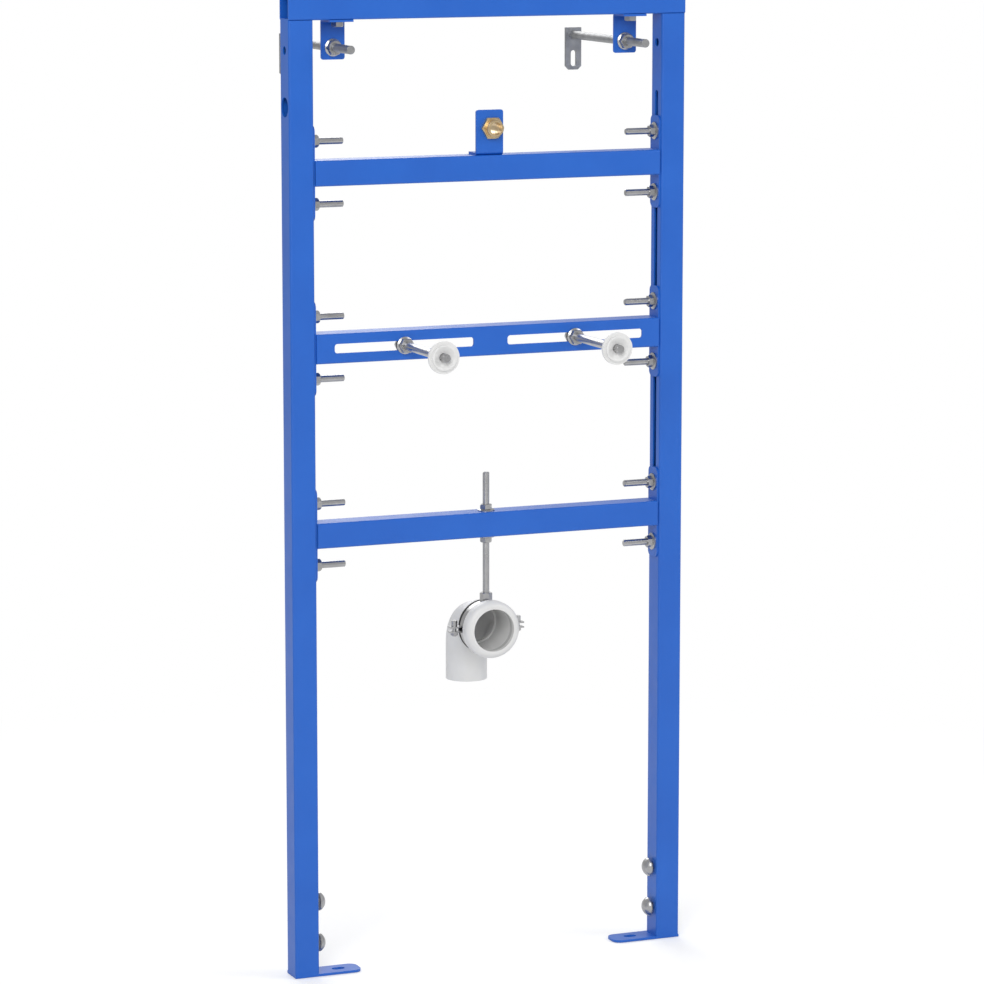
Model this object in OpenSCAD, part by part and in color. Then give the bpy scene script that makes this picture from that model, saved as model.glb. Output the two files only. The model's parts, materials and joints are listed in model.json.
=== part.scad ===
// Installation frame for a wall-hung urinal: a welded and bolted frame of square steel tube
// that stands on two floor plates and is tied back to the wall by two threaded rods.
// Millimetres, +Z up. X runs along the wall, +Y points back to the wall.
// The origin lies on the floor, under the axis of the left post, on its foot plate.

/* [Frame] */
// Overall width, outer face to outer face of the posts
frame_w = 500; // [410:5:640]
// Overall height, floor to the top of the rail
frame_h = 1160; // [1080:10:1400]
// Side of the square tube of the posts, the rail and two of the bars
tube_w = 30; // [28:1:36]
// Wall thickness of the square tube
tube_wall = 2; // [1.5:0.1:2.6]
// Outer corner radius of the square tube
tube_r = 2.5; // [1:0.1:3.5]

/* [Post openings] */
// Diameter of the cross hole near the top of each post
cross_hole_d = 10; // [6:0.5:14]
// Distance of the cross hole below the top of the post
cross_hole_drop = 34.5; // [20:0.5:60]
// Diameter of the service hole in the outer face of each post
service_hole_d = 23; // [10:1:24]
// Distance of the service hole below the top of the post
service_hole_drop = 99.5; // [60:0.5:140]
// Distance of the upper end of the long slot below the top of the post
slot_top_drop = 91; // [70:1:150]
// Clearance between a clamp bolt and the long slot it slides in
slot_gap = 0.5; // [0.3:0.1:0.9]

/* [Cross bars] */
// Height of the axis of the supply bar above the floor
supply_bar_z = 954; // [880:1:990]
// Height of the axis of the mounting bar above the floor
mounting_bar_z = 750; // [680:1:820]
// Height of the axis of the drain bar above the floor
drain_bar_z = 530; // [500:1:610]
// Height of the mounting bar, a channel open at the back
channel_h = 35; // [32:1:40]
// Sheet thickness of the mounting bar
channel_t = 2.5; // [2:0.1:3]
// Height of the two long slots in the mounting bar
bar_slot_h = 11; // [10.6:0.1:13]
// Solid length between each long slot and the end of the mounting bar
slot_margin = 22; // [10:1:40]
// Solid length between the two long slots
slot_bridge = 43; // [20:1:80]
// Corner radius of the long slots in the mounting bar
bar_slot_r = 3.5; // [1:0.1:5]

/* [End plates and clamp bolts] */
// Height of an end plate
end_plate_h = 110; // [100:1:130]
// Width of an end plate
end_plate_w = 25; // [22:0.5:26]
// Thickness of an end plate
end_plate_t = 2; // [1.5:0.1:4]
// Corner radius of an end plate
end_plate_r = 7; // [3:0.5:10]
// Distance between the two clamp bolts of an end plate
clamp_pitch = 73; // [66:1:86]
// Thread diameter of the clamp bolts, the drain rod and the bracket bolts
m8_d = 8; // [6:0.5:8]
// Reach of a clamp bolt inwards from the face of its post
clamp_reach = 40.5; // [24:0.5:60]
// Thickness of the hammer head of a clamp bolt
hammer_t = 5; // [4:0.5:6]
// Length of the hammer head across the slot
hammer_l = 20; // [16:0.5:22]

/* [Nuts] */
// Width across flats of the smaller nuts
m8_af = 13; // [12:0.5:14]
// Height of the smaller nuts
m8_nut_h = 8; // [6:0.5:9]
// Width across flats of the larger nuts
m10_af = 16; // [15:0.5:17]
// Height of a plain nut without a flange
plain_nut_h = 6; // [5:0.5:8]
// Height of the larger nuts
m10_nut_h = 9.5; // [8:0.5:11]
// Diameter of the flange of every flange nut
nut_flange_d = 20.5; // [18.5:0.5:23]
// Thickness of the flange at its edge
nut_flange_t = 1.4; // [1:0.1:2]
// Gap between a thread and the nut on it
thread_gap = 0.1; // [0.05:0.05:0.2]

/* [Wall ties] */
// Distance of each wall bracket from the inner face of its post, to the bracket's middle
bracket_x = 35; // [25:1:80]
// Width of a wall bracket
bracket_w = 29; // [24:1:36]
// Length of the hanging leg of a wall bracket, from the underside of the rail
bracket_drop = 47; // [44:1:80]
// Sheet thickness of a wall bracket
bracket_t = 2.5; // [2:0.1:4]
// Distance of the tie rod below the underside of the rail
rod_drop = 33; // [30:0.5:34]
// Thread diameter of the tie rods and the urinal studs
m10_d = 10; // [8:0.5:10]
// Reach of a tie rod in front of the middle of the frame
rod_front = 45; // [30:0.5:80]
// Distance of the wall plate's front face behind the middle of the frame
wall_plate_y = 168; // [120:1:230]
// Width of a wall plate
wall_plate_w = 21; // [18:1:40]
// Height of a wall plate
wall_plate_h = 51.5; // [46:0.5:70]
// Height of a wall plate's upper edge above the tie rod's axis
wall_plate_top = 9; // [6:0.5:14]
// Thickness of a wall plate
wall_plate_t = 3; // [2:0.5:5]
// Corner cut of the lower corners of a wall plate
wall_plate_cut = 4.5; // [2:0.5:6]
// Width of the slot in a wall plate
wall_slot_w = 7; // [5:0.5:9]
// Length of the slot in a wall plate
wall_slot_l = 19.5; // [12:0.5:22]
// Distance of the slot's middle below the tie rod
wall_slot_drop = 28.5; // [26:0.5:30]

/* [Supply connection] */
// Height of the supply connection above the supply bar's top
supply_rise = 31.5; // [26:0.5:50]
// Sideways offset of the supply connection from the bracket's middle
supply_offset = 3; // [-3:0.5:3]
// Width of the supply bracket
supply_bracket_w = 34; // [32:0.5:50]
// Height of the supply bracket above the bar
supply_bracket_h = 53; // [52:1:80]
// Depth of the supply bracket's foot on the bar
supply_bracket_d = 24; // [20:1:28]
// Sheet thickness of the supply bracket
supply_bracket_t = 3; // [2:0.5:4]
// Diameter of the threaded spigots of the supply connector
spigot_d = 20; // [16:0.5:21]
// Bore of the supply connector
supply_bore_d = 14.6; // [10:0.2:15]
// Width across flats of the supply connector
supply_af = 24.5; // [24:0.5:28]
// Thickness of the supply connector's hexagon
supply_hex_t = 5; // [4:0.5:8]
// Length of the front spigot before the hexagon
spigot_front = 7.6; // [5:0.2:14]
// Length of the rear spigot behind the bracket
spigot_rear = 22; // [14:1:30]
// Thickness of the lock nut behind the bracket
lock_nut_t = 6; // [4:0.5:8]

/* [Urinal studs] */
// Distance between the two urinal studs
stud_pitch = 217; // [200:1:230]
// Reach of a urinal stud in front of the mounting bar
stud_reach = 132; // [90:1:160]
// Length of a urinal stud behind the face of the mounting bar
stud_tail = 20; // [16:1:24]
// Diameter of the plastic disc on each stud
disc_d = 38; // [35:0.5:44]
// Thickness of the disc's rim
disc_rim_t = 3; // [2:0.5:5]
// Diameter of the raised middle of the disc
disc_boss_d = 30; // [28:0.5:33]
// Height of the raised middle over the rim
disc_boss_h = 2.5; // [1:0.5:4]
// Free end of the stud in front of the disc
stud_free = 6; // [3:0.5:12]
// Depth of the dish round the stud in the disc's face
dish_depth = 4; // [2:0.5:5]
// Diameter of the dish at the disc's face
dish_d = 26; // [14:0.5:27]

/* [Drain] */
// Height of the drain socket's axis above the floor
drain_z = 404; // [360:1:420]
// Reach of the drain rod above the drain bar
rod_rise = 46.5; // [20:0.5:80]
// Outer diameter of the drain pipe
pipe_d = 50; // [46:0.5:52]
// Wall thickness of the drain elbow
pipe_wall = 1.8; // [1.6:0.1:2.4]
// Play between a pipe and the socket it slides into, across the diameter
socket_play = 1; // [0.6:0.1:1.4]
// Wall thickness of the socket
socket_wall = 2.4; // [2:0.1:3]
// Depth of the socket
socket_l = 55.5; // [50:0.5:64]
// Gap between the bead and the clamp's lining
bead_gap = 0.3; // [0.2:0.1:2]
// Height of the bead over the socket's outside
bead_rise = 6.6; // [4:0.1:8]
// Length of the bead
bead_l = 17.2; // [17:0.1:24]
// Width of the flat ring round the mouth of the socket
mouth_flat = 1.5; // [1:0.1:2.2]
// Radius of the bead's rear edge
bead_edge_r = 2; // [1:0.1:3]
// Distance of the lip seal behind the mouth
seal_front = 6; // [5:0.1:7]
// Length of the lip seal along the socket
seal_l = 7; // [5:0.1:8]
// Radius of the bend's centre line
bend_r = 30; // [28:1:45]
// Height of the lower end of the elbow below the socket's axis
elbow_drop = 74; // [60:1:110]

/* [Pipe clamp] */
// Width of the clamp band
clamp_w = 10; // [9:1:16]
// Thickness of the clamp band
clamp_t = 1.8; // [1.2:0.1:2.5]
// Thickness of the rubber lining
lining_t = 2.2; // [1.5:0.1:3]
// Gap between the lining and the band around it
lining_gap = 0.1; // [0.05:0.05:0.3]
// Length of the lining's edge beyond the band on each side
lining_edge = 3.5; // [2:0.1:5]
// Height of the lining's edges over the outside of the band
lining_rise = 0.4; // [0.2:0.1:1]
// Gap between the ears of the two clamp halves
ear_gap = 4; // [2:0.5:6]
// Length of an ear of the clamp
ear_l = 16.4; // [14:0.2:22]
// Distance of a clamp screw from the end of its ear
screw_inset = 6.6; // [5:0.2:9]
// Thread diameter of the clamp screws
screw_d = 5; // [4:0.5:5]
// Diameter of the heads of the clamp screws
screw_head_d = 7.5; // [7:0.5:9]
// Height of the heads of the clamp screws
screw_head_h = 7; // [3:0.5:8]
// Width across flats of the clamp screws' nuts
screw_af = 8; // [7:0.5:9]
// Height of the boss on the upper clamp half
boss_h = 10; // [8:0.5:14]
// Turn of the boss about the drain rod's axis
boss_turn = 22; // [0:1:59]

/* [Feet] */
// Thickness of a foot plate and of its upright
foot_t = 3; // [2:0.5:5]
// Reach of a foot plate inwards from the face of its post
foot_reach = 55; // [45:1:90]
// Corner radius of a foot plate
foot_r = 10; // [4:0.5:12]
// Distance of the anchor slot from the face of the post, to its middle
anchor_x = 29; // [20:1:40]
// Length of the anchor slot
anchor_l = 16; // [12:0.5:20]
// Width of the anchor slot
anchor_w = 9; // [7:0.5:11]
// Height of the upright inside the post, above the floor
upright_h = 120; // [105:5:200]
// Width of the upright
upright_w = 22; // [18:0.5:24]
// Height of the lower foot bolt above the floor
foot_bolt_z = 38; // [25:1:45]
// Distance between the two foot bolts
foot_bolt_pitch = 50; // [36:1:60]
// Diameter of the domed head of a foot bolt
dome_d = 22.5; // [16:0.5:24]
// Height of the domed head
dome_h = 8.5; // [5:0.5:10]
// Length of a foot bolt's shank, from the face of the post into the post
foot_shank_l = 14; // [13:0.5:22]
// Length of the square neck between the post and the domed head
neck_l = 4; // [1:0.5:5]
// Side of the square neck
neck_w = 9; // [8:0.5:10]

/* [Hidden] */
$fn = 48;

// Places that several pieces share
post_x = frame_w - tube_w;
mid_x = post_x / 2;
half = tube_w / 2;
post_top = frame_h - tube_w;
inner_half = half - tube_wall;
bolt_hole_d = m8_d + 2 * slot_gap;
plate_face = half + end_plate_t;
bar_l = post_x - 2 * plate_face;
bar_slot_l = (bar_l - slot_bridge) / 2 - slot_margin;
bar_slot_x = (slot_bridge + bar_slot_l) / 2;
clamp_end = half + clamp_reach;
slot_bottom = drain_bar_z - clamp_pitch / 2 - bolt_hole_d;
supply_z = supply_bar_z + half + supply_rise;
supply_leg_y = -supply_bracket_d / 2;
bracket_mid = half + bracket_x;
rod_z = post_top - rod_drop;
stud_tip = -half - stud_reach;
disc_back = stud_tip + stud_free + disc_boss_h + disc_rim_t;
socket_r = pipe_d / 2 + socket_play / 2;
socket_out_r = socket_r + socket_wall;
bead_r = socket_out_r + bead_rise;
lining_r = socket_out_r + lining_t;
band_in_r = lining_r + lining_gap;
band_r = band_in_r + clamp_t;
lining_edge_r = band_r + lining_rise;
ear_root = band_r - clamp_t / 2;
screw_x = ear_root + ear_l - screw_inset;
socket_front = clamp_w / 2 + lining_edge + bead_gap + bead_l;
pipe_y = -socket_front + socket_l + bend_r + (socket_out_r - pipe_d / 2);
dish_floor_y = disc_back - (disc_rim_t + disc_boss_h - dish_depth);
groove_w = 1.2;
groove_t = 0.6;
seam = 0.3;
// How far a cutting shape reaches past the face that it cuts
past = 1;

// Colours
blue = [0.08, 0.37, 0.74];
zinc = [0.72, 0.73, 0.74];
grey = [0.58, 0.59, 0.6];
brass = [0.8, 0.66, 0.36];
plastic = [0.93, 0.93, 0.93];
rubber = [0.08, 0.08, 0.08];
seal_grey = [0.7, 0.7, 0.7];

// Rectangle with rounded corners, centred
module round_rect(w, h, r) {
    square([w - 2 * r, h], center = true);
    square([w, h - 2 * r], center = true);
    for (x = [-1, 1], y = [-1, 1])
        translate([x * (w / 2 - r), y * (h / 2 - r)]) circle(r = r);
}

// Slot with round ends, centred, its length along X
module slot_shape(l, w) {
    square([l - w, w], center = true);
    for (x = [-1, 1]) translate([x * (l - w) / 2, 0]) circle(d = w);
}

// Section of the square tube
module tube_section() {
    least_r = 0.4;
    inner_r = max(tube_r - tube_wall, least_r);
    difference() {
        round_rect(tube_w, tube_w, tube_r);
        round_rect(tube_w - 2 * tube_wall, tube_w - 2 * tube_wall, inner_r);
    }
}

// A piece drawn for the left side, or its mirror image on the right side
module on_side(right) {
    if (right) translate([post_x, 0, 0]) mirror([1, 0, 0]) children();
    else children();
}

// Turns a piece so that its +Z points forward, away from the wall
module forward(x, y, z) {
    translate([x, y, z]) rotate([90, 0, 0]) children();
}

// Turns a piece so that its +Z points along +X
module sideways(x, y, z) {
    translate([x, y, z]) rotate([0, 90, 0]) children();
}

// Hexagon prism whose upper corners are turned off by a cone that just touches its flats
module hex_block(af, h) {
    corner_r = af / sqrt(3);
    touch = 0.1;
    chamfer = corner_r - af / 2 + 3 * touch;
    intersection() {
        cylinder(r = corner_r, h = h, $fn = 6);
        union() {
            cylinder(r = corner_r + 2 * touch, h = h - chamfer);
            translate([0, 0, h - chamfer])
                cylinder(r1 = corner_r + 2 * touch, r2 = af / 2 - touch, h = chamfer);
        }
    }
}

// Flange nut, seated at z = 0, with its hexagon pointing up
module flange_nut(af, h, thread) {
    cone_h = 1.2;
    difference() {
        union() {
            cylinder(d = nut_flange_d, h = nut_flange_t);
            translate([0, 0, nut_flange_t])
                cylinder(d1 = nut_flange_d, d2 = af, h = cone_h);
            hex_block(af, h);
        }
        translate([0, 0, -past]) cylinder(d = thread + 2 * thread_gap, h = h + 2 * past);
    }
}

// Plain hexagon nut, seated at z = 0
module plain_nut(af, h, thread) {
    difference() {
        hex_block(af, h);
        translate([0, 0, -past]) cylinder(d = thread + 2 * thread_gap, h = h + 2 * past);
    }
}

// Threaded bar along +Z: chamfered at its far end, and at its near end if that is free
module threaded_bar(d, l, near_free = true) {
    chamfer = 0.8;
    near = near_free ? chamfer : 0;
    if (near_free) cylinder(d1 = d - 2 * chamfer, d2 = d, h = chamfer);
    translate([0, 0, near]) cylinder(d = d, h = l - near - chamfer);
    translate([0, 0, l - chamfer]) cylinder(d1 = d, d2 = d - 2 * chamfer, h = chamfer);
}

// Angle of bent sheet in the XY plane: one arm along +X, one along +Y, outer corner at 0
module angle_section(a, b, t) {
    bend = t + 1.5;
    translate([bend, 0]) square([a - bend, t]);
    translate([0, bend]) square([t, b - bend]);
    difference() {
        translate([bend, bend]) circle(r = bend);
        translate([bend, bend]) circle(r = bend - t);
        translate([bend, -bend]) square([2 * bend, 4 * bend]);
        translate([-bend, bend]) square([4 * bend, 2 * bend]);
    }
}

// Post: square tube with a long slot for the clamp bolts in its inner face
module post() {
    slot_l = post_top - slot_top_drop - slot_bottom;
    difference() {
        translate([0, 0, foot_t]) linear_extrude(post_top - foot_t) tube_section();
        sideways(inner_half - past, 0, slot_bottom + slot_l / 2)
            linear_extrude(tube_wall + 2 * past) slot_shape(slot_l, bolt_hole_d);
        sideways(-half - past, 0, post_top - cross_hole_drop)
            cylinder(d = cross_hole_d, h = tube_w + 2 * past);
        sideways(-half - past, 0, post_top - service_hole_drop)
            cylinder(d = service_hole_d, h = tube_wall + 2 * past);
        for (i = [0, 1])
            sideways(inner_half - past, 0, foot_bolt_z + i * foot_bolt_pitch)
                linear_extrude(tube_wall + 2 * past) square(neck_w + 2 * slot_gap, center = true);
    }
}

module left_post() { color(blue) on_side(false) post(); }
module right_post() { color(blue) on_side(true) post(); }

// Rail across the tops of the posts, open at both ends
module top_rail() {
    color(blue) difference() {
        sideways(-half, 0, post_top + half) linear_extrude(frame_w) tube_section();
        for (x = [bracket_mid, post_x - bracket_mid])
            translate([x, 0, post_top - past]) cylinder(d = bolt_hole_d, h = tube_wall + 2 * past);
    }
}

// Foot: floor plate that runs under the post, with an upright inside the post
module foot() {
    plate_l = tube_w + foot_reach;
    linear_extrude(foot_t) difference() {
        union() {
            translate([plate_l / 2 - half, 0]) round_rect(plate_l, tube_w, foot_r);
            square(tube_w, center = true);
        }
        translate([half + anchor_x, 0]) slot_shape(anchor_l, anchor_w);
    }
    difference() {
        translate([inner_half - foot_t, -upright_w / 2, foot_t])
            cube([foot_t, upright_w, upright_h - foot_t]);
        for (i = [0, 1])
            sideways(inner_half - foot_t - past, 0, foot_bolt_z + i * foot_bolt_pitch)
                cylinder(d = bolt_hole_d, h = foot_t + 2 * past);
    }
}

module left_foot() { color(blue) on_side(false) foot(); }
module right_foot() { color(blue) on_side(true) foot(); }

// Foot bolt along +X, with its shank in the post and its domed head inside the frame
module foot_bolt() {
    rim = 1.5;
    dome_r = (pow(dome_d / 2, 2) + pow(dome_h - rim, 2)) / (2 * (dome_h - rim));
    cylinder(d = m8_d, h = foot_shank_l);
    translate([0, 0, foot_shank_l - tube_wall])
        linear_extrude(tube_wall + neck_l) square(neck_w, center = true);
    translate([0, 0, foot_shank_l + neck_l]) rotate_extrude() {
        square([dome_d / 2, rim]);
        intersection() {
            translate([0, dome_h - dome_r]) circle(r = dome_r);
            translate([0, rim]) square([dome_d / 2, dome_h]);
        }
    }
}

module foot_bolts() {
    for (i = [0, 1])
        sideways(half - foot_shank_l, 0, foot_bolt_z + i * foot_bolt_pitch) foot_bolt();
}

module left_foot_bolts() { color(zinc) on_side(false) foot_bolts(); }
module right_foot_bolts() { color(zinc) on_side(true) foot_bolts(); }

module foot_bolt_nuts() {
    color(zinc) for (right = [false, true], i = [0, 1]) on_side(right)
        translate([inner_half - foot_t, 0, foot_bolt_z + i * foot_bolt_pitch])
            rotate([0, -90, 0]) plain_nut(m8_af, plain_nut_h, m8_d);
}

// Cross bar of square tube between the end plates
module tube_bar(z) {
    sideways(plate_face, 0, z) linear_extrude(bar_l) tube_section();
}

module supply_bar() { color(blue) tube_bar(supply_bar_z); }

// Mounting bar: a channel open at the back, with two long slots for the urinal studs
module mounting_bar() {
    inner_r = 1;
    color(blue) difference() {
        sideways(plate_face, 0, mounting_bar_z) linear_extrude(bar_l) difference() {
            union() {
                round_rect(channel_h, tube_w, tube_r);
                translate([0, half / 2]) square([channel_h, half], center = true);
            }
            translate([0, channel_t]) round_rect(channel_h - 2 * channel_t, tube_w, inner_r);
        }
        for (s = [-1, 1])
            forward(mid_x + s * bar_slot_x, -half + channel_t + past, mounting_bar_z)
                linear_extrude(channel_t + 2 * past) round_rect(bar_slot_l, bar_slot_h, bar_slot_r);
    }
}

module drain_bar() {
    color(blue) difference() {
        tube_bar(drain_bar_z);
        translate([mid_x, 0, drain_bar_z - tube_w]) cylinder(d = bolt_hole_d, h = 2 * tube_w);
    }
}

// End plates of one bar, welded to it and bolted to the posts
module end_plates(z) {
    color(blue) for (right = [false, true]) on_side(right)
        sideways(half, 0, z) linear_extrude(end_plate_t) difference() {
            round_rect(end_plate_h, end_plate_w, end_plate_r);
            for (s = [-1, 1]) translate([s * clamp_pitch / 2, 0]) circle(d = bolt_hole_d);
        }
}

module supply_bar_end_plates() { end_plates(supply_bar_z); }
module mounting_bar_end_plates() { end_plates(mounting_bar_z); }
module drain_bar_end_plates() { end_plates(drain_bar_z); }

// Clamp bolts of one bar: a hammer head behind the slot and a long threaded shank
module clamp_bolts(z) {
    head_w = m8_d;
    color(zinc) for (right = [false, true], s = [-1, 1]) on_side(right)
        sideways(inner_half, 0, z + s * clamp_pitch / 2) {
            threaded_bar(m8_d, clamp_end - inner_half, near_free = false);
            translate([-head_w / 2, -hammer_l / 2, -hammer_t]) cube([head_w, hammer_l, hammer_t]);
        }
}

module supply_bar_clamp_bolts() { clamp_bolts(supply_bar_z); }
module mounting_bar_clamp_bolts() { clamp_bolts(mounting_bar_z); }
module drain_bar_clamp_bolts() { clamp_bolts(drain_bar_z); }

module clamp_nuts(z) {
    color(zinc) for (right = [false, true], s = [-1, 1]) on_side(right)
        sideways(plate_face, 0, z + s * clamp_pitch / 2) flange_nut(m8_af, m8_nut_h, m8_d);
}

module supply_bar_clamp_nuts() { clamp_nuts(supply_bar_z); }
module mounting_bar_clamp_nuts() { clamp_nuts(mounting_bar_z); }
module drain_bar_clamp_nuts() { clamp_nuts(drain_bar_z); }

// Wall bracket: an angle under the rail whose leg hangs down at the back
module wall_bracket() {
    depth = tube_w + bracket_t;
    corner = 3;
    intersection() {
        translate([bracket_mid + bracket_w / 2, half + bracket_t, post_top])
            rotate([90, 0, -90]) linear_extrude(bracket_w) mirror([0, 1])
                angle_section(depth, bracket_drop, bracket_t);
        forward(bracket_mid, tube_w, post_top - bracket_drop / 2)
            linear_extrude(2 * tube_w) {
                round_rect(bracket_w, bracket_drop, corner);
                translate([0, corner / 2]) square([bracket_w, bracket_drop - corner], center = true);
            }
    }
}

module drilled_wall_bracket() {
    difference() {
        wall_bracket();
        translate([bracket_mid, 0, post_top - bracket_t - past])
            cylinder(d = bolt_hole_d, h = bracket_t + 2 * past);
        forward(bracket_mid, half + bracket_t + past, rod_z)
            cylinder(d = m10_d + 2 * slot_gap, h = bracket_t + 2 * past);
    }
}

module left_wall_bracket() { color(blue) on_side(false) drilled_wall_bracket(); }
module right_wall_bracket() { color(blue) on_side(true) drilled_wall_bracket(); }

// Bolts that hold the wall brackets under the rail, with their heads inside it
module wall_bracket_bolts() {
    head_h = 5.3;
    shank_l = tube_wall + bracket_t + plain_nut_h;
    color(zinc) for (right = [false, true]) on_side(right) {
        translate([bracket_mid, 0, post_top + tube_wall]) hex_block(m8_af, head_h);
        translate([bracket_mid, 0, post_top + tube_wall - shank_l]) cylinder(d = m8_d, h = shank_l);
    }
}

module wall_bracket_nuts() {
    color(zinc) for (right = [false, true]) on_side(right)
        translate([bracket_mid, 0, post_top - bracket_t]) rotate([180, 0, 0])
            plain_nut(m8_af, plain_nut_h, m8_d);
}

// Tie rod, welded to the front face of its wall plate
module tie_rod() {
    forward(bracket_mid, wall_plate_y, rod_z)
        threaded_bar(m10_d, wall_plate_y + rod_front, near_free = false);
}

module left_tie_rod() { color(zinc) on_side(false) tie_rod(); }
module right_tie_rod() { color(zinc) on_side(true) tie_rod(); }

// Two nuts on each tie rod, one before and one behind the bracket's leg
module tie_rod_nuts() {
    color(zinc) for (right = [false, true]) on_side(right) {
        forward(bracket_mid, half, rod_z) flange_nut(m10_af, m10_nut_h, m10_d);
        translate([bracket_mid, half + bracket_t, rod_z]) rotate([-90, 0, 0])
            flange_nut(m10_af, m10_nut_h, m10_d);
    }
}

// Wall plate with a slot for the wall screw
module wall_plate() {
    drop = wall_plate_h - wall_plate_top;
    forward(bracket_mid, wall_plate_y + wall_plate_t, rod_z) linear_extrude(wall_plate_t) difference() {
        polygon([
            [-wall_plate_w / 2, wall_plate_top], [wall_plate_w / 2, wall_plate_top],
            [wall_plate_w / 2, wall_plate_cut - drop], [wall_plate_w / 2 - wall_plate_cut, -drop],
            [wall_plate_cut - wall_plate_w / 2, -drop], [-wall_plate_w / 2, wall_plate_cut - drop],
        ]);
        translate([0, -wall_slot_drop]) rotate(90) slot_shape(wall_slot_l, wall_slot_w);
    }
}

module left_wall_plate() { color(grey) on_side(false) wall_plate(); }
module right_wall_plate() { color(grey) on_side(true) wall_plate(); }

// Supply bracket: an angle on the bar, its leg upright at the front
module supply_bracket() {
    corner = 3;
    bar_top = supply_bar_z + half;
    color(blue) difference() {
        intersection() {
            translate([mid_x - supply_bracket_w / 2, supply_leg_y, bar_top])
                rotate([90, 0, 90]) linear_extrude(supply_bracket_w)
                    angle_section(supply_bracket_d, supply_bracket_h, supply_bracket_t);
            forward(mid_x, tube_w, bar_top + supply_bracket_h / 2) linear_extrude(2 * tube_w) {
                round_rect(supply_bracket_w, supply_bracket_h, corner);
                translate([0, -corner / 2])
                    square([supply_bracket_w, supply_bracket_h - corner], center = true);
            }
        }
        forward(mid_x + supply_offset, supply_leg_y + supply_bracket_t + past, supply_z)
            cylinder(d = spigot_d + 2 * thread_gap, h = supply_bracket_t + 2 * past);
    }
}

// Supply connector: a brass hexagon before the bracket, with a spigot on each side
module supply_connector() {
    rear_l = supply_bracket_t + spigot_rear;
    front_l = supply_hex_t + spigot_front;
    color(brass) forward(mid_x + supply_offset, supply_leg_y, supply_z) difference() {
        union() {
            hex_block(supply_af, supply_hex_t);
            translate([0, 0, -rear_l]) threaded_bar(spigot_d, rear_l + front_l);
        }
        translate([0, 0, -rear_l - past])
            cylinder(d = supply_bore_d, h = rear_l + front_l + 2 * past);
        translate([0, 0, -supply_bracket_t - lock_nut_t - groove_w]) groove_cut(spigot_d);
    }
}

module supply_lock_nut() {
    color(brass) translate([mid_x + supply_offset, supply_leg_y + supply_bracket_t, supply_z])
        rotate([-90, 0, 0]) plain_nut(supply_af, lock_nut_t, spigot_d);
}

// Ring to cut a narrow groove round a bar, from z = 0 upwards
module groove_cut(d) {
    difference() {
        cylinder(d = d + 2 * past, h = groove_w);
        translate([0, 0, -past]) cylinder(d = d - 2 * groove_t, h = groove_w + 2 * past);
    }
}

// Urinal stud through one slot of the mounting bar, grooved where its disc sits
module urinal_stud(s) {
    color(zinc) difference() {
        forward(mid_x + s * stud_pitch / 2, stud_tail - half, mounting_bar_z)
            threaded_bar(m10_d, stud_tail + stud_reach);
        forward(mid_x + s * stud_pitch / 2, dish_floor_y, mounting_bar_z) groove_cut(m10_d);
    }
}

module left_urinal_stud() { urinal_stud(-1); }
module right_urinal_stud() { urinal_stud(1); }

// Two nuts on each urinal stud, before and behind the sheet of the mounting bar
module urinal_stud_nuts() {
    color(zinc) for (s = [-1, 1]) {
        forward(mid_x + s * stud_pitch / 2, -half, mounting_bar_z)
            flange_nut(m10_af, m10_nut_h, m10_d);
        translate([mid_x + s * stud_pitch / 2, channel_t - half, mounting_bar_z])
            rotate([-90, 0, 0]) flange_nut(m10_af, m10_nut_h, m10_d);
    }
}

// Plastic disc on a stud: a thin rim, a raised middle and a dished hole
module stud_disc(s) {
    height = disc_rim_t + disc_boss_h;
    hole_d = m10_d + 2 * thread_gap;
    color(plastic) forward(mid_x + s * stud_pitch / 2, disc_back, mounting_bar_z) difference() {
        union() {
            cylinder(d = disc_d, h = disc_rim_t);
            cylinder(d = disc_boss_d, h = height);
        }
        translate([0, 0, -past]) cylinder(d = hole_d, h = height + 2 * past);
        translate([0, 0, height - dish_depth]) cylinder(d1 = hole_d, d2 = dish_d, h = dish_depth);
    }
}

module left_stud_disc() { stud_disc(-1); }
module right_stud_disc() { stud_disc(1); }

// Vertical rod through the drain bar that carries the pipe clamp
module drain_rod() {
    low = drain_z + band_r + seam;
    color(zinc) translate([mid_x, 0, low])
        threaded_bar(m8_d, drain_bar_z + half + rod_rise - low);
}

module drain_rod_nuts() {
    color(zinc) {
        translate([mid_x, 0, drain_bar_z + half]) flange_nut(m8_af, m8_nut_h, m8_d);
        translate([mid_x, 0, drain_bar_z - half]) rotate([180, 0, 0])
            flange_nut(m8_af, m8_nut_h, m8_d);
    }
}

// Half of the pipe clamp, the upper one, about the socket's axis
module clamp_half() {
    difference() {
        union() {
            linear_extrude(clamp_w, center = true) difference() {
                circle(r = band_r);
                circle(r = band_in_r);
                translate([-2 * band_r, -4 * band_r + ear_gap / 2]) square(4 * band_r);
            }
            for (s = [-1, 1]) translate([s * (ear_root + ear_l / 2), ear_gap / 2 + clamp_t / 2, 0])
                cube([ear_l, clamp_t, clamp_w], center = true);
        }
        for (s = [-1, 1]) translate([s * screw_x, 0, 0]) rotate([-90, 0, 0])
            cylinder(d = screw_d + 2 * thread_gap, h = ear_gap / 2 + clamp_t + past);
    }
}

// Room beside the band, where the boss reaches over the lining's edges
module lining_room() {
    for (s = [-1, 1]) translate([0, 0, s * (clamp_w + m8_af) / 2])
        cylinder(r = lining_edge_r + lining_gap, h = m8_af, center = true);
}

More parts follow.
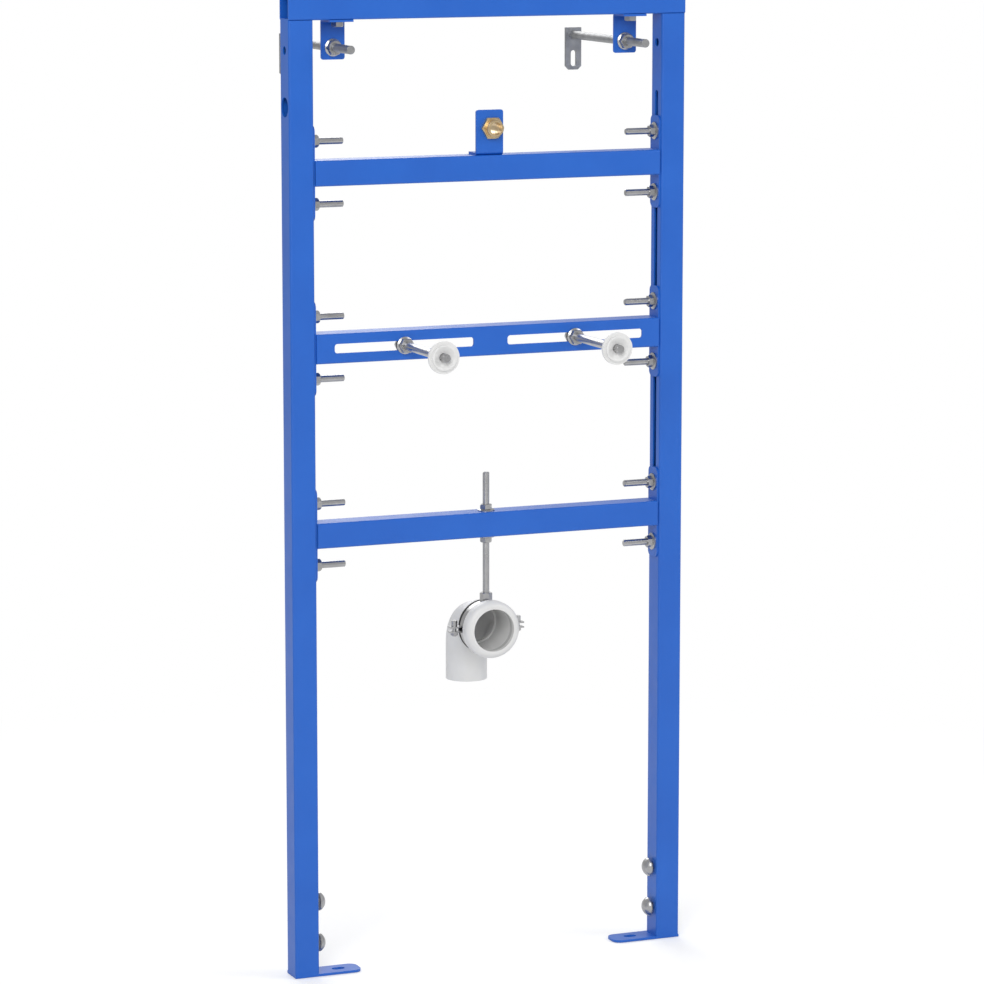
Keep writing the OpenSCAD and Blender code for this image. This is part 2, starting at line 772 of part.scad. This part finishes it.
// The boss on the upper half is a nut welded to the band
module clamp_upper_half() {
    color(zinc) {
        forward(mid_x, 0, drain_z) clamp_half();
        difference() {
            translate([mid_x, 0, drain_z + lining_r]) rotate(-boss_turn)
                hex_block(m8_af, boss_h + clamp_t + lining_gap);
            translate([mid_x, 0, drain_z + band_r])
                cylinder(d = m8_d + 2 * thread_gap, h = boss_h + past);
            forward(mid_x, 0, drain_z) lining_room();
            forward(mid_x, clamp_w, drain_z) cylinder(r = band_in_r, h = 2 * clamp_w);
        }
    }
}

module clamp_lower_half() {
    color(zinc) forward(mid_x, 0, drain_z) mirror([0, 1, 0]) clamp_half();
}

// Rubber lining: a sleeve with an edge bead on each side of the band
module clamp_lining() {
    color(rubber) forward(mid_x, 0, drain_z) {
        linear_extrude(clamp_w, center = true) difference() {
            circle(r = lining_r);
            circle(r = socket_out_r);
        }
        for (s = [-1, 1]) translate([0, 0, s * (clamp_w + lining_edge) / 2])
            linear_extrude(lining_edge, center = true) difference() {
                circle(r = lining_edge_r);
                circle(r = socket_out_r);
            }
    }
}

// Screws that draw the two clamp halves together, with round heads above and nuts below
module clamp_screws() {
    grip = ear_gap + 2 * clamp_t;
    nut_h = 3.5;
    tail = 1;
    color(zinc) for (s = [-1, 1]) translate([mid_x + s * screw_x, 0, drain_z]) {
        translate([0, 0, grip / 2]) cylinder(d = screw_head_d, h = screw_head_h);
        translate([0, 0, -grip / 2 - nut_h - tail]) cylinder(d = screw_d, h = grip + nut_h + tail);
        translate([0, 0, -grip / 2]) rotate([180, 0, 0]) plain_nut(screw_af, nut_h, screw_d);
    }
}

// Solid form of the elbow for its outside and, smaller and longer, for its bore
module elbow_form(r_pipe, r_socket, mouth) {
    bend_z = drain_z - bend_r;
    straight = pipe_y - bend_r + socket_front;
    translate([mid_x, pipe_y, drain_z - elbow_drop - mouth])
        cylinder(r = r_pipe, h = elbow_drop - bend_r + mouth);
    translate([mid_x, pipe_y - bend_r, bend_z]) rotate([0, 0, 90]) rotate([90, 0, 0])
        rotate_extrude(angle = 90) translate([bend_r, 0]) circle(r = r_pipe);
    forward(mid_x, pipe_y - bend_r, drain_z) cylinder(r = r_pipe, h = straight);
    forward(mid_x, socket_l - socket_front, drain_z)
        cylinder(r = r_socket, h = socket_l + mouth);
}

// Half section of the bead, its front upwards: a flat ring, a rounding and a straight back
module bead_section() {
    round_r = bead_rise + socket_wall - mouth_flat;
    square([bead_r - round_r, bead_l]);
    square([bead_r - bead_edge_r, bead_edge_r]);
    translate([0, bead_edge_r]) square([bead_r, bead_l - round_r - bead_edge_r]);
    translate([bead_r - bead_edge_r, bead_edge_r]) circle(r = bead_edge_r);
    translate([bead_r - round_r, bead_l - round_r]) intersection() {
        circle(r = round_r);
        square(round_r);
    }
}

// Drain elbow: a push-fit socket to the front, a bend and a plain end pointing down
module drain_elbow() {
    color(plastic) difference() {
        union() {
            elbow_form(pipe_d / 2, socket_out_r, 0);
            forward(mid_x, bead_l - socket_front, drain_z) rotate_extrude() bead_section();
            forward(mid_x, socket_l - socket_front + socket_out_r - pipe_d / 2, drain_z)
                cylinder(r1 = pipe_d / 2, r2 = socket_out_r, h = socket_out_r - pipe_d / 2);
        }
        elbow_form(pipe_d / 2 - pipe_wall, socket_r, past);
        forward(mid_x, seal_front + seal_l - socket_front, drain_z)
            cylinder(r = bead_r - socket_wall, h = seal_l);
    }
}

// Lip seal in the groove of the socket's mouth
module socket_seal() {
    play = 0.1;
    relief = 0.2;
    color(seal_grey) forward(mid_x, seal_front + seal_l - play - socket_front, drain_z) difference() {
        cylinder(r = bead_r - socket_wall - play, h = seal_l - 2 * play);
        translate([0, 0, -past]) cylinder(r = socket_r + relief, h = seal_l + 2 * past);
    }
}

left_post();
right_post();
top_rail();
left_foot();
right_foot();
left_foot_bolts();
right_foot_bolts();
foot_bolt_nuts();
supply_bar();
mounting_bar();
drain_bar();
supply_bar_end_plates();
mounting_bar_end_plates();
drain_bar_end_plates();
supply_bar_clamp_bolts();
mounting_bar_clamp_bolts();
drain_bar_clamp_bolts();
supply_bar_clamp_nuts();
mounting_bar_clamp_nuts();
drain_bar_clamp_nuts();
left_wall_bracket();
right_wall_bracket();
wall_bracket_bolts();
wall_bracket_nuts();
left_tie_rod();
right_tie_rod();
tie_rod_nuts();
left_wall_plate();
right_wall_plate();
supply_bracket();
supply_connector();
supply_lock_nut();
left_urinal_stud();
right_urinal_stud();
urinal_stud_nuts();
left_stud_disc();
right_stud_disc();
drain_rod();
drain_rod_nuts();
clamp_upper_half();
clamp_lower_half();
clamp_lining();
clamp_screws();
drain_elbow();
socket_seal();
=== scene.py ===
# %% [markdown]
# The object is a steel frame that a wall-hung urinal is screwed to: two posts, a rail, three
# cross bars and the fittings on them. Its exact shapes come from a CAD model, which is loaded
# first as a fixed frame. Every length in Blender is in metres and every place is the CAD's own,
# so a new piece is put where the CAD says and needs no fitting.

# %% Load the CAD frame
import json
import math

import bpy
import numpy as np
from mathutils import Matrix, Vector

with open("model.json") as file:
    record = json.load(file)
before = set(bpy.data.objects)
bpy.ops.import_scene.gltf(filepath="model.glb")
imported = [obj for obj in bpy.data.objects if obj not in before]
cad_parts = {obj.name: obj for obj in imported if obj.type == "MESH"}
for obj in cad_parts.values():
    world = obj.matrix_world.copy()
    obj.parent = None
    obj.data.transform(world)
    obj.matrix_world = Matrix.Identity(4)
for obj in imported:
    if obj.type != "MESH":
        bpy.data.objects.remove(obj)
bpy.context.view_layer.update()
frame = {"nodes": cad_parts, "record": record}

NODES = frame["nodes"]

# %% [markdown]
# The photograph was taken from the left and a little above, with a long lens. The camera's place
# and lens below were worked out from the frame's corners in the photograph by least squares.
# The lens has no shift, so that the camera can also be moved round the object.

# %% Camera
FRAME_MIDDLE_X = 0.235
IMAGE_SIDE = 984
PHOTO_FOCAL_PIXELS = 4172.3
CAMERA_YAW = math.radians(22.45)
CAMERA_PITCH = math.radians(9.219)

camera_data = bpy.data.cameras.new("photo_camera")
camera_data.sensor_width = 36.0
camera_data.lens = PHOTO_FOCAL_PIXELS / IMAGE_SIDE * camera_data.sensor_width
camera = bpy.data.objects.new("photo_camera", camera_data)
bpy.context.scene.collection.objects.link(camera)
camera.location = (FRAME_MIDDLE_X - 1.8643, -4.5308, 1.3624)
camera.rotation_euler = (math.pi / 2 - CAMERA_PITCH, 0.0, -CAMERA_YAW)
camera_data.clip_end = 60.0
bpy.context.scene.camera = camera
print("lens", round(camera_data.lens, 1), "mm")

# %% [markdown]
# The object stands on white ground before a white background, in soft light from all sides. A
# white world gives the even light and a wide lamp on the left gives the posts their shading. The
# floor is a plain sheet of mesh: for the camera it is lifted to white, and its shadow stays.

# %% Floor, world and lamps
scene = bpy.context.scene
scene.view_settings.view_transform = "Standard"

def new_material(name):
    """An empty node material with its output and its main shader."""
    material = bpy.data.materials.new(name)
    material.use_nodes = True
    tree = material.node_tree
    shader = tree.nodes["Principled BSDF"]
    return material, tree, shader

def add_node(tree, kind, **settings):
    """A node of this kind with its settings and its input values set."""
    node = tree.nodes.new(kind)
    for key, value in settings.items():
        if key in node.inputs:
            node.inputs[key].default_value = value
        else:
            setattr(node, key, value)
    return node

def studio_floor():
    """A wide floor sheet whose far edge lies out of sight."""
    mesh = bpy.data.meshes.new("studio_floor")
    side = 14.0
    corners = [(-side, -side, 0), (side, -side, 0), (side, side, 0), (-side, side, 0)]
    mesh.from_pydata(corners, [], [(0, 1, 2, 3)])
    floor = bpy.data.objects.new("studio_floor", mesh)
    scene.collection.objects.link(floor)
    floor.location = (FRAME_MIDDLE_X, 0.0, -0.0005)
    material, tree, shader = new_material("studio_white")
    shader.inputs["Base Color"].default_value = (0.86, 0.86, 0.86, 1)
    shader.inputs["Roughness"].default_value = 0.9
    shader.inputs["Specular IOR Level"].default_value = 0.1
    glow = add_node(tree, "ShaderNodeEmission", Strength=0.2)
    lifted = add_node(tree, "ShaderNodeAddShader")
    tree.links.new(shader.outputs[0], lifted.inputs[0])
    tree.links.new(glow.outputs[0], lifted.inputs[1])
    far_white = add_node(tree, "ShaderNodeEmission", Strength=1.0)
    place = add_node(tree, "ShaderNodeTexCoord")
    reach = add_node(tree, "ShaderNodeVectorMath", operation="LENGTH")
    tree.links.new(place.outputs["Object"], reach.inputs[0])
    far = add_node(tree, "ShaderNodeMapRange", interpolation_type="SMOOTHSTEP")
    far.inputs["From Min"].default_value = 0.7
    far.inputs["From Max"].default_value = 1.5
    tree.links.new(reach.outputs["Value"], far.inputs["Value"])
    shown = add_node(tree, "ShaderNodeMixShader")
    tree.links.new(far.outputs["Result"], shown.inputs[0])
    tree.links.new(lifted.outputs[0], shown.inputs[1])
    tree.links.new(far_white.outputs[0], shown.inputs[2])
    pick = add_node(tree, "ShaderNodeMixShader")
    path = add_node(tree, "ShaderNodeLightPath")
    tree.links.new(path.outputs["Is Camera Ray"], pick.inputs[0])
    tree.links.new(shader.outputs[0], pick.inputs[1])
    tree.links.new(shown.outputs[0], pick.inputs[2])
    tree.links.new(pick.outputs[0], tree.nodes["Material Output"].inputs[0])
    mesh.materials.append(material)

def studio_world():
    """White for the camera, an even soft light for everything else."""
    world = bpy.data.worlds.new("studio_world")
    scene.world = world
    world.use_nodes = True
    tree = world.node_tree
    soft = tree.nodes["Background"]
    soft.inputs["Color"].default_value = (1, 1, 1, 1)
    soft.inputs["Strength"].default_value = 0.55
    white = add_node(tree, "ShaderNodeBackground", Color=(1, 1, 1, 1), Strength=1.0)
    pick = add_node(tree, "ShaderNodeMixShader")
    path = add_node(tree, "ShaderNodeLightPath")
    tree.links.new(path.outputs["Is Camera Ray"], pick.inputs[0])
    tree.links.new(soft.outputs[0], pick.inputs[1])
    tree.links.new(white.outputs[0], pick.inputs[2])
    tree.links.new(pick.outputs[0], tree.nodes["World Output"].inputs[0])

def soft_lamp(name, place, aim, size, power):
    """A square area lamp at a place, turned to a point."""
    data = bpy.data.lights.new(name, "AREA")
    data.shape = "SQUARE"
    data.size = size
    data.energy = power
    lamp = bpy.data.objects.new(name, data)
    scene.collection.objects.link(lamp)
    lamp.location = place
    lamp.rotation_euler = (Vector(aim) - Vector(place)).to_track_quat("-Z", "Y").to_euler()
    return lamp

studio_floor()
studio_world()
soft_lamp("front_lamp", (-2.2, -4.0, 3.2), (0.235, 0.0, 0.6), 2.6, 130.0)
soft_lamp("side_lamp", (3.4, -1.8, 2.4), (0.235, 0.0, 0.7), 2.0, 40.0)
soft_lamp("back_lamp", (0.6, 3.6, 2.8), (0.235, 0.0, 0.7), 2.4, 60.0)

# %% [markdown]
# Powder coat is a baked plastic skin. It is not a flat colour: it has a fine orange-peel
# surface and a satin gloss. A low bump of one fine noise gives the peel, a faint noise moves the
# colour by a few percent, and the gloss is the shader's own roughness.

# %% Materials
def surface_noise(tree, scale, detail=3.0, rough=0.5):
    """A noise in the object's own metres."""
    place = add_node(tree, "ShaderNodeTexCoord")
    noise = add_node(tree, "ShaderNodeTexNoise", Scale=scale, Detail=detail, Roughness=rough)
    tree.links.new(place.outputs["Object"], noise.inputs["Vector"])
    return noise.outputs["Fac"]

def spread(tree, factor, low, high):
    """Maps a noise to a range of numbers."""
    node = add_node(tree, "ShaderNodeMapRange")
    node.inputs["From Min"].default_value = 0.3
    node.inputs["From Max"].default_value = 0.7
    node.inputs["To Min"].default_value = low
    node.inputs["To Max"].default_value = high
    tree.links.new(factor, node.inputs["Value"])
    return node.outputs["Result"]

def two_tones(tree, factor, first, second):
    """A colour between two tones."""
    node = add_node(tree, "ShaderNodeValToRGB")
    node.color_ramp.elements[0].position = 0.3
    node.color_ramp.elements[0].color = (*first, 1)
    node.color_ramp.elements[1].position = 0.7
    node.color_ramp.elements[1].color = (*second, 1)
    tree.links.new(factor, node.inputs["Fac"])
    return node.outputs["Color"]

def bump(tree, shader, factor, height, strength=1.0):
    """Lets a noise raise the surface by a real height in metres."""
    node = add_node(tree, "ShaderNodeBump", Distance=height, Strength=strength)
    tree.links.new(factor, node.inputs["Height"])
    tree.links.new(node.outputs["Normal"], shader.inputs["Normal"])

def finish_of(name, first, second, scale, metallic, rough_low, rough_high, peel_scale, peel_height,
              specular=0.5):
    """A material of two close tones, a moving roughness and a fine surface."""
    material, tree, shader = new_material(name)
    tone = surface_noise(tree, scale)
    tree.links.new(two_tones(tree, tone, first, second), shader.inputs["Base Color"])
    tree.links.new(spread(tree, surface_noise(tree, scale * 2.3), rough_low, rough_high),
                   shader.inputs["Roughness"])
    shader.inputs["Metallic"].default_value = metallic
    shader.inputs["Specular IOR Level"].default_value = specular
    bump(tree, shader, surface_noise(tree, peel_scale, 2.0), peel_height)
    return material

PAINT = finish_of("blue_powder_coat", (0.0075, 0.105, 0.50), (0.0095, 0.117, 0.535), 14.0, 0.0,
                  0.34, 0.42, 900.0, 0.00002)
ZINC = finish_of("zinc_plating", (0.40, 0.40, 0.405), (0.50, 0.50, 0.505), 60.0, 1.0,
                 0.26, 0.36, 2500.0, 0.000008)
STEEL = finish_of("galvanised_steel", (0.30, 0.305, 0.31), (0.40, 0.405, 0.41), 90.0, 0.9,
                  0.42, 0.55, 1800.0, 0.00001)
BRASS = finish_of("turned_brass", (0.66, 0.50, 0.29), (0.74, 0.58, 0.35), 120.0, 1.0,
                  0.26, 0.36, 2500.0, 0.000006)
DISC_PLASTIC = finish_of("white_moulding", (0.70, 0.70, 0.695), (0.74, 0.74, 0.735), 70.0, 0.0,
                         0.42, 0.5, 1800.0, 0.000008)
PIPE_PLASTIC = finish_of("pale_pipe_moulding", (0.66, 0.66, 0.655), (0.70, 0.70, 0.695), 40.0, 0.0,
                         0.36, 0.44, 1500.0, 0.00001)
RUBBER = finish_of("black_rubber", (0.012, 0.012, 0.012), (0.02, 0.02, 0.02), 120.0, 0.0,
                   0.6, 0.75, 2500.0, 0.00002)
SEAL = finish_of("grey_seal_rubber", (0.45, 0.45, 0.45), (0.5, 0.5, 0.5), 120.0, 0.0,
                 0.6, 0.75, 2500.0, 0.00002)

FINISH_OF_SLOT = {
    "blue_paint": PAINT, "zinc": ZINC, "bare_steel": STEEL, "brass": BRASS,
    "white_plastic": DISC_PLASTIC, "pipe_plastic": PIPE_PLASTIC, "black_rubber": RUBBER,
    "grey_seal": SEAL,
}

SLOT_OF = {}
for part in frame["record"]["subparts"]:
    if isinstance(part, dict) and "material_slot" in part:
        SLOT_OF[part.get("node") or part.get("name")] = part["material_slot"]
print(len(SLOT_OF), "nodes have a slot")

def coat(node, material):
    """Gives a CAD node its material."""
    piece = NODES[node]
    piece.data.materials.clear()
    piece.data.materials.append(material)

for name in NODES:
    coat(name, FINISH_OF_SLOT[SLOT_OF.get(name, "blue_paint")])
